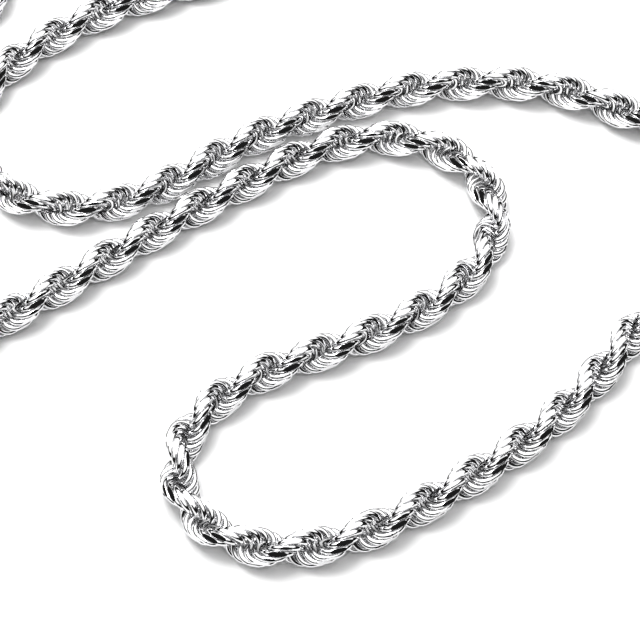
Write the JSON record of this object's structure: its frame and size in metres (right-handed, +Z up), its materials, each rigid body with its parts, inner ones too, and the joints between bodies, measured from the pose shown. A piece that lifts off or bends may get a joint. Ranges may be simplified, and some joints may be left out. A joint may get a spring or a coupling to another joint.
{
  "type": "chain necklace",
  "caption": "Diamond-cut rope chain necklace of linked open rings, laid in loose loops, with soldered end caps, a lobster clasp with a hinged lever, and a catch ring.",
  "frame": {"origin": "centre of the area that the laid-out necklace covers, on the surface it lies on", "axes": "+Z up from the surface; +X to the right and +Y away from a viewer in front, the whole chain lying in the XY plane"},
  "size_m": [0.0906, 0.0926, 0.0029],
  "materials": {
    "chain_silver": "polished sterling silver with diamond-cut flats",
    "fitting_silver": "polished sterling silver",
    "clasp_silver": "polished sterling silver, lightly scratched",
    "spring_steel": "bright spring wire"
  },
  "bodies": {
    "chain_01": {"chain_segment_01": "chain_silver", "end_cap_clasp_side": "fitting_silver"},
    "chain_02": {"chain_segment_02": "chain_silver"},
    "chain_03": {"chain_segment_03": "chain_silver"},
    "chain_04": {"chain_segment_04": "chain_silver"},
    "chain_05": {"chain_segment_05": "chain_silver"},
    "chain_06": {"chain_segment_06": "chain_silver"},
    "chain_07": {"chain_segment_07": "chain_silver"},
    "chain_08": {"chain_segment_08": "chain_silver"},
    "chain_09": {"chain_segment_09": "chain_silver"},
    "chain_10": {"chain_segment_10": "chain_silver"},
    "chain_11": {"chain_segment_11": "chain_silver"},
    "chain_12": {"chain_segment_12": "chain_silver"},
    "chain_13": {"chain_segment_13": "chain_silver"},
    "chain_14": {"chain_segment_14": "chain_silver"},
    "chain_15": {"chain_segment_15": "chain_silver"},
    "chain_16": {"chain_segment_16": "chain_silver"},
    "chain_17": {"chain_segment_17": "chain_silver"},
    "chain_18": {"chain_segment_18": "chain_silver"},
    "chain_19": {"chain_segment_19": "chain_silver"},
    "chain_20": {"chain_segment_20": "chain_silver"},
    "chain_21": {"chain_segment_21": "chain_silver"},
    "chain_22": {"chain_segment_22": "chain_silver"},
    "chain_23": {"chain_segment_23": "chain_silver"},
    "chain_24": {"chain_segment_24": "chain_silver"},
    "chain_25": {"chain_segment_25": "chain_silver"},
    "chain_26": {"chain_segment_26": "chain_silver"},
    "chain_27": {"chain_segment_27": "chain_silver"},
    "chain_28": {"chain_segment_28": "chain_silver"},
    "chain_29": {"chain_segment_29": "chain_silver"},
    "chain_30": {"chain_segment_30": "chain_silver"},
    "chain_31": {"chain_segment_31": "chain_silver"},
    "chain_32": {"chain_segment_32": "chain_silver"},
    "chain_33": {"chain_segment_33": "chain_silver"},
    "chain_34": {"chain_segment_34": "chain_silver"},
    "chain_35": {"chain_segment_35": "chain_silver"},
    "chain_36": {"chain_segment_36": "chain_silver"},
    "chain_37": {"chain_segment_37": "chain_silver"},
    "chain_38": {"chain_segment_38": "chain_silver"},
    "chain_39": {"chain_segment_39": "chain_silver"},
    "chain_40": {"chain_segment_40": "chain_silver"},
    "chain_41": {"chain_segment_41": "chain_silver"},
    "chain_42": {"chain_segment_42": "chain_silver", "end_cap_ring_side": "fitting_silver"},
    "jump_ring": {"jump_ring": "fitting_silver"},
    "clasp": {"clasp_body": "clasp_silver", "clasp_rivet": "clasp_silver", "clasp_spring": "spring_steel"},
    "lever": {"clasp_lever": "clasp_silver"},
    "catch_ring": {"catch_ring": "fitting_silver"}
  },
  "joints": [
    {"name": "bend_01_02", "type": "hinge", "parent": "chain_02", "child": "chain_01", "pos_m": [-0.03911, 0.02396, 0.00145], "axis": [0, 0, 1], "range_deg": [-4, 6]},
    {"name": "bend_02_03", "type": "hinge", "parent": "chain_03", "child": "chain_02", "pos_m": [-0.0421, 0.01412, 0.00145], "axis": [0, 0, 1], "range_deg": [-6, 6]},
    {"name": "bend_03_04", "type": "hinge", "parent": "chain_04", "child": "chain_03", "pos_m": [-0.04382, 0.00398, 0.00145], "axis": [0, 0, 1], "range_deg": [-5, 6]},
    {"name": "bend_04_05", "type": "hinge", "parent": "chain_05", "child": "chain_04", "pos_m": [-0.04282, -0.00623, 0.00145], "axis": [0, 0, 1], "range_deg": [-4, 6]},
    {"name": "bend_05_06", "type": "hinge", "parent": "chain_06", "child": "chain_05", "pos_m": [-0.04049, -0.01626, 0.00145], "axis": [0, 0, 1], "range_deg": [-5, 6]},
    {"name": "bend_06_07", "type": "hinge", "parent": "chain_07", "child": "chain_06", "pos_m": [-0.03698, -0.02588, 0.00145], "axis": [0, 0, 1], "range_deg": [0, 6]},
    {"name": "bend_07_08", "type": "hinge", "parent": "chain_08", "child": "chain_07", "pos_m": [-0.02818, -0.03017, 0.00145], "axis": [0, 0, 1], "range_deg": [0, 6]},
    {"name": "bend_08_09", "type": "hinge", "parent": "chain_09", "child": "chain_08", "pos_m": [-0.01887, -0.02602, 0.00145], "axis": [0, 0, 1], "range_deg": [-1, 6]},
    {"name": "bend_09_10", "type": "hinge", "parent": "chain_10", "child": "chain_09", "pos_m": [-0.01038, -0.02019, 0.00145], "axis": [0, 0, 1], "range_deg": [-1, 6]},
    {"name": "bend_10_11", "type": "hinge", "parent": "chain_11", "child": "chain_10", "pos_m": [-0.00212, -0.01404, 0.00145], "axis": [0, 0, 1], "range_deg": [-1, 6]},
    {"name": "bend_11_12", "type": "hinge", "parent": "chain_12", "child": "chain_11", "pos_m": [0.00647, -0.00836, 0.00145], "axis": [0, 0, 1], "range_deg": [0, 6]},
    {"name": "bend_12_13", "type": "hinge", "parent": "chain_13", "child": "chain_12", "pos_m": [0.01598, -0.00478, 0.00145], "axis": [0, 0, 1], "range_deg": [0, 6]},
    {"name": "bend_13_14", "type": "hinge", "parent": "chain_14", "child": "chain_13", "pos_m": [0.02457, -0.00947, 0.00145], "axis": [0, 0, 1], "range_deg": [0, 6]},
    {"name": "bend_14_15", "type": "hinge", "parent": "chain_15", "child": "chain_14", "pos_m": [0.02315, -0.01911, 0.00145], "axis": [0, 0, 1], "range_deg": [0, 6]},
    {"name": "bend_15_16", "type": "hinge", "parent": "chain_16", "child": "chain_15", "pos_m": [0.01485, -0.02507, 0.00145], "axis": [0, 0, 1], "range_deg": [-1, 6]},
    {"name": "bend_16_17", "type": "hinge", "parent": "chain_17", "child": "chain_16", "pos_m": [0.00546, -0.02928, 0.00145], "axis": [0, 0, -1], "range_deg": [-1, 6]},
    {"name": "bend_17_18", "type": "hinge", "parent": "chain_18", "child": "chain_17", "pos_m": [-0.0003, -0.03729, 0.00145], "axis": [0, 0, -1], "range_deg": [0, 6]},
    {"name": "bend_18_19", "type": "hinge", "parent": "chain_19", "child": "chain_18", "pos_m": [0.00576, -0.04459, 0.00145], "axis": [0, 0, -1], "range_deg": [0, 5]},
    {"name": "bend_19_20", "type": "hinge", "parent": "chain_20", "child": "chain_19", "pos_m": [0.01567, -0.04272, 0.00145], "axis": [0, 0, -1], "range_deg": [-1, 5]},
    {"name": "bend_20_21", "type": "hinge", "parent": "chain_21", "child": "chain_20", "pos_m": [0.02436, -0.03721, 0.00145], "axis": [0, 0, 1], "range_deg": [-1, 6]},
    {"name": "bend_21_22", "type": "hinge", "parent": "chain_22", "child": "chain_21", "pos_m": [0.032, -0.03034, 0.00145], "axis": [0, 0, 1], "range_deg": [0, 6]},
    {"name": "bend_22_23", "type": "hinge", "parent": "chain_22", "child": "chain_23", "pos_m": [0.03818, -0.02211, 0.00145], "axis": [0, 0, -1], "range_deg": [0, 6]},
    {"name": "bend_23_24", "type": "hinge", "parent": "chain_23", "child": "chain_24", "pos_m": [0.04347, -0.01331, 0.00145], "axis": [0, 0, -1], "range_deg": [0, 6]},
    {"name": "bend_24_25", "type": "hinge", "parent": "chain_24", "child": "chain_25", "pos_m": [0.04075, -0.00417, 0.00145], "axis": [0, 0, -1], "range_deg": [0, 6]},
    {"name": "bend_25_26", "type": "hinge", "parent": "chain_25", "child": "chain_26", "pos_m": [0.03165, 0.00056, 0.00145], "axis": [0, 0, -1], "range_deg": [0, 6]},
    {"name": "bend_26_27", "type": "hinge", "parent": "chain_26", "child": "chain_27", "pos_m": [0.02143, 0.0011, 0.00145], "axis": [0, 0, -1], "range_deg": [0, 6]},
    {"name": "bend_27_28", "type": "hinge", "parent": "chain_27", "child": "chain_28", "pos_m": [0.01157, -0.00174, 0.00145], "axis": [0, 0, -1], "range_deg": [0, 6]},
    {"name": "bend_28_29", "type": "hinge", "parent": "chain_28", "child": "chain_29", "pos_m": [0.00246, -0.00651, 0.00145], "axis": [0, 0, -1], "range_deg": [0, 6]},
    {"name": "bend_29_30", "type": "hinge", "parent": "chain_29", "child": "chain_30", "pos_m": [-0.00635, -0.01173, 0.00145], "axis": [0, 0, 1], "range_deg": [-6, 6]},
    {"name": "bend_30_31", "type": "hinge", "parent": "chain_30", "child": "chain_31", "pos_m": [-0.0161, -0.01015, 0.00145], "axis": [0, 0, 1], "range_deg": [-6, 6]},
    {"name": "bend_31_32", "type": "hinge", "parent": "chain_31", "child": "chain_32", "pos_m": [-0.019, -0.00097, 0.00145], "axis": [0, 0, 1], "range_deg": [-1, 6]},
    {"name": "bend_32_33", "type": "hinge", "parent": "chain_32", "child": "chain_33", "pos_m": [-0.0125, 0.00684, 0.00145], "axis": [0, 0, 1], "range_deg": [0, 3]},
    {"name": "bend_33_34", "type": "hinge", "parent": "chain_33", "child": "chain_34", "pos_m": [-0.0035, 0.01179, 0.00145], "axis": [0, 0, 1], "range_deg": [-2, 1]},
    {"name": "bend_34_35", "type": "hinge", "parent": "chain_34", "child": "chain_35", "pos_m": [0.0058, 0.01614, 0.00145], "axis": [0, 0, 1], "range_deg": [-1, 1]},
    {"name": "bend_35_36", "type": "hinge", "parent": "chain_35", "child": "chain_36", "pos_m": [0.00897, 0.0251, 0.00145], "axis": [0, 0, 1], "range_deg": [-1, 1]},
    {"name": "bend_36_37", "type": "hinge", "parent": "chain_36", "child": "chain_37", "pos_m": [0.00063, 0.0301, 0.00145], "axis": [0, 0, 1], "range_deg": [-2, 1]},
    {"name": "bend_37_38", "type": "hinge", "parent": "chain_37", "child": "chain_38", "pos_m": [-0.00868, 0.02624, 0.00145], "axis": [0, 0, 1], "range_deg": [-2, 1]},
    {"name": "bend_38_39", "type": "hinge", "parent": "chain_38", "child": "chain_39", "pos_m": [-0.01497, 0.01816, 0.00145], "axis": [0, 0, 1], "range_deg": [-1, 1]},
    {"name": "bend_39_40", "type": "hinge", "parent": "chain_39", "child": "chain_40", "pos_m": [-0.01981, 0.00907, 0.00145], "axis": [0, 0, 1], "range_deg": [-1, 3]},
    {"name": "bend_40_41", "type": "hinge", "parent": "chain_40", "child": "chain_41", "pos_m": [-0.02746, 0.00237, 0.00145], "axis": [0, 0, 1], "range_deg": [0, 6]},
    {"name": "bend_41_42", "type": "hinge", "parent": "chain_41", "child": "chain_42", "pos_m": [-0.03445, -0.00475, 0.00145], "axis": [0, 0, 1], "range_deg": [-1, 6]},
    {"name": "jump_ring_swing", "type": "hinge", "parent": "chain_01", "child": "jump_ring", "pos_m": [-0.03007, 0.03473, 0.00112], "axis": [0, 0, 1], "range_deg": [-15, 15]},
    {"name": "clasp_swing", "type": "hinge", "parent": "jump_ring", "child": "clasp", "pos_m": [-0.02817, 0.03703, 0.00112], "axis": [0, 0, 1], "range_deg": [-15, 15]},
    {"name": "lever_open", "type": "hinge", "parent": "clasp", "child": "lever", "pos_m": [-0.02516, 0.03932, 0.0012], "axis": [0, 0, 1], "range_deg": [0, 30]},
    {"name": "catch_ring_swing", "type": "hinge", "parent": "chain_42", "child": "catch_ring", "pos_m": [-0.02956, -0.01749, 0.00115], "axis": [0, 0, 1], "range_deg": [-15, 15]}
  ]
}
